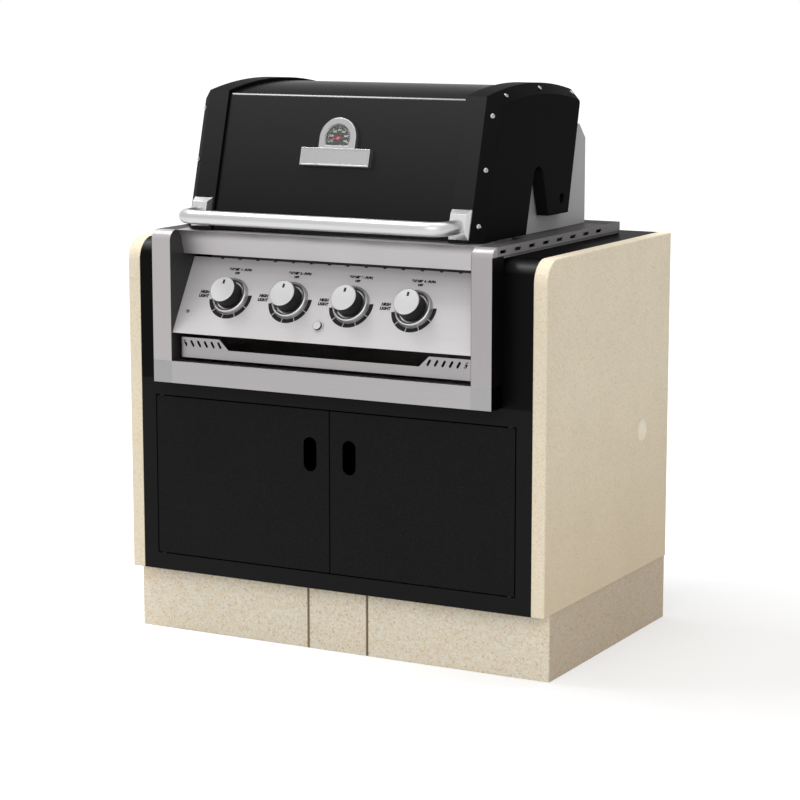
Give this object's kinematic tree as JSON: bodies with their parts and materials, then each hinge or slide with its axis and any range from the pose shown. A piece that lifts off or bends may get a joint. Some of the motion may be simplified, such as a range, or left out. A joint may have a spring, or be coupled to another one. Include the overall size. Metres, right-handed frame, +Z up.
{
  "type": "masonry barbecue",
  "caption": "Gas grill head with a hinged hood, knobs and drip tray, built into a stone-clad cabinet with black doors on a stone plinth.",
  "frame": {"origin": "on the floor, under the middle of the whole object's box", "axes": "+X to the right of someone facing the doors, +Y from the doors to the back, +Z up"},
  "size_m": [1.036, 0.77, 1.249],
  "materials": {
    "stone": "matt, finely speckled",
    "powder_coat": "fine textured matt black",
    "stainless": "satin brushed",
    "panel_steel": "satin brushed, brighter",
    "rail_grey": "satin grey",
    "cap_grey": "satin grey",
    "plug_plastic": "matt",
    "black_plastic": "satin",
    "pin_steel": "turned",
    "cast_aluminium": "as cast",
    "cast_iron": "matt enamel",
    "ceramic_white": "glazed",
    "valve_brass": "machined",
    "bright_chrome": "polished",
    "handle_steel": "bright satin",
    "hood_enamel": "satin gloss black",
    "cap_black": "black coated casting",
    "gauge_grey": "satin, black dial",
    "lens_glass": "clear",
    "needle_red": "matt red"
  },
  "bodies": {
    "unit": {"plinth_left": "stone", "plinth_centre": "stone", "plinth_right": "stone", "side_slab_left": "stone", "side_slab_right": "stone", "cabinet_frame": "powder_coat", "cabinet_floor": "powder_coat", "cabinet_back": "powder_coat", "top_cover_left": "powder_coat", "top_cover_right": "powder_coat", "column_left": "stainless", "column_right": "stainless", "lower_rail": "stainless", "fascia": "stainless", "tray_runners": "stainless", "head_jacket": "stainless", "heat_plates": "stainless", "burners": "stainless", "warming_rack": "stainless", "hose_plug": "plug_plastic", "door_pivots": "pin_steel", "door_catches": "black_plastic", "corner_caps": "cap_grey", "control_panel": "panel_steel", "side_rail_left": "rail_grey", "side_rail_right": "rail_grey", "rear_rail": "rail_grey", "firebox": "cast_aluminium", "hinge_plate_left": "rail_grey", "hinge_plate_right": "rail_grey", "hinge_pins": "pin_steel", "spark_electrodes": "ceramic_white", "cooking_grid_left": "cast_iron", "cooking_grid_right": "cast_iron", "gas_manifold": "pin_steel", "gas_valves": "valve_brass", "knob_bezels": "bright_chrome", "igniter_sleeve": "bright_chrome"},
    "door_left": {"door_left": "powder_coat"},
    "door_right": {"door_right": "powder_coat"},
    "lid": {"hood": "hood_enamel", "end_cap_left": "cap_black", "end_cap_right": "cap_black", "handle_bar": "handle_steel", "handle_brackets": "bright_chrome", "gauge_housing": "gauge_grey", "gauge_lens": "lens_glass"},
    "gauge_needle": {"gauge_needle": "needle_red"},
    "drip_tray": {"drip_tray": "stainless", "tray_front": "stainless"},
    "igniter_button": {"igniter_button": "black_plastic"},
    "knob_plunger_1": {"knob_plunger_1": "pin_steel"},
    "knob_1": {"knob_1": "black_plastic"},
    "knob_plunger_2": {"knob_plunger_2": "pin_steel"},
    "knob_2": {"knob_2": "black_plastic"},
    "knob_plunger_3": {"knob_plunger_3": "pin_steel"},
    "knob_3": {"knob_3": "black_plastic"},
    "knob_plunger_4": {"knob_plunger_4": "pin_steel"},
    "knob_4": {"knob_4": "black_plastic"}
  },
  "joints": [
    {"name": "door_left_hinge", "type": "hinge", "parent": "unit", "child": "door_left", "pos_m": [-0.435, -0.273, 0.36592], "axis": [0, 0, -1], "range_deg": [0, 110]},
    {"name": "door_right_hinge", "type": "hinge", "parent": "unit", "child": "door_right", "pos_m": [0.435, -0.273, 0.36592], "axis": [0, 0, 1], "range_deg": [0, 110]},
    {"name": "lid_hinge", "type": "hinge", "parent": "unit", "child": "lid", "pos_m": [0, 0.119, 0.992], "axis": [-1, 0, 0], "range_deg": [0, 70]},
    {"name": "gauge_needle_turn", "type": "hinge", "parent": "lid", "child": "gauge_needle", "pos_m": [0, -0.23484, 1.13281], "axis": [0, 0.9641, -0.2656], "range_deg": [0, 200], "stiffness_Nm_per_rad": 0.002, "springref_deg": -5.73},
    {"name": "drip_tray_slide", "type": "slide", "parent": "unit", "child": "drip_tray", "axis": [0, -1, 0], "range_m": [0, 0.32]},
    {"name": "igniter_push", "type": "slide", "parent": "unit", "child": "igniter_button", "axis": [0, 0.8607, -0.509], "range_m": [0, 0.004], "stiffness_N_per_m": 1000, "springref_m": -0.002},
    {"name": "knob_push_1", "type": "slide", "parent": "unit", "child": "knob_plunger_1", "axis": [0, 0.8607, -0.509], "range_m": [0, 0.0035], "stiffness_N_per_m": 1500, "springref_m": -0.002},
    {"name": "knob_turn_1", "type": "hinge", "parent": "knob_plunger_1", "child": "knob_1", "pos_m": [-0.2466, -0.28204, 0.78185], "axis": [0, -0.8607, 0.509], "range_deg": [0, 270]},
    {"name": "knob_push_2", "type": "slide", "parent": "unit", "child": "knob_plunger_2", "axis": [0, 0.8607, -0.509], "range_m": [0, 0.0035], "stiffness_N_per_m": 1500, "springref_m": -0.002},
    {"name": "knob_turn_2", "type": "hinge", "parent": "knob_plunger_2", "child": "knob_2", "pos_m": [-0.0946, -0.28204, 0.78185], "axis": [0, -0.8607, 0.509], "range_deg": [0, 270]},
    {"name": "knob_push_3", "type": "slide", "parent": "unit", "child": "knob_plunger_3", "axis": [0, 0.8607, -0.509], "range_m": [0, 0.0035], "stiffness_N_per_m": 1500, "springref_m": -0.002},
    {"name": "knob_turn_3", "type": "hinge", "parent": "knob_plunger_3", "child": "knob_3", "pos_m": [0.0574, -0.28204, 0.78185], "axis": [0, -0.8607, 0.509], "range_deg": [0, 270]},
    {"name": "knob_push_4", "type": "slide", "parent": "unit", "child": "knob_plunger_4", "axis": [0, 0.8607, -0.509], "range_m": [0, 0.0035], "stiffness_N_per_m": 1500, "springref_m": -0.002},
    {"name": "knob_turn_4", "type": "hinge", "parent": "knob_plunger_4", "child": "knob_4", "pos_m": [0.2094, -0.28204, 0.78185], "axis": [0, -0.8607, 0.509], "range_deg": [0, 270]}
  ]
}
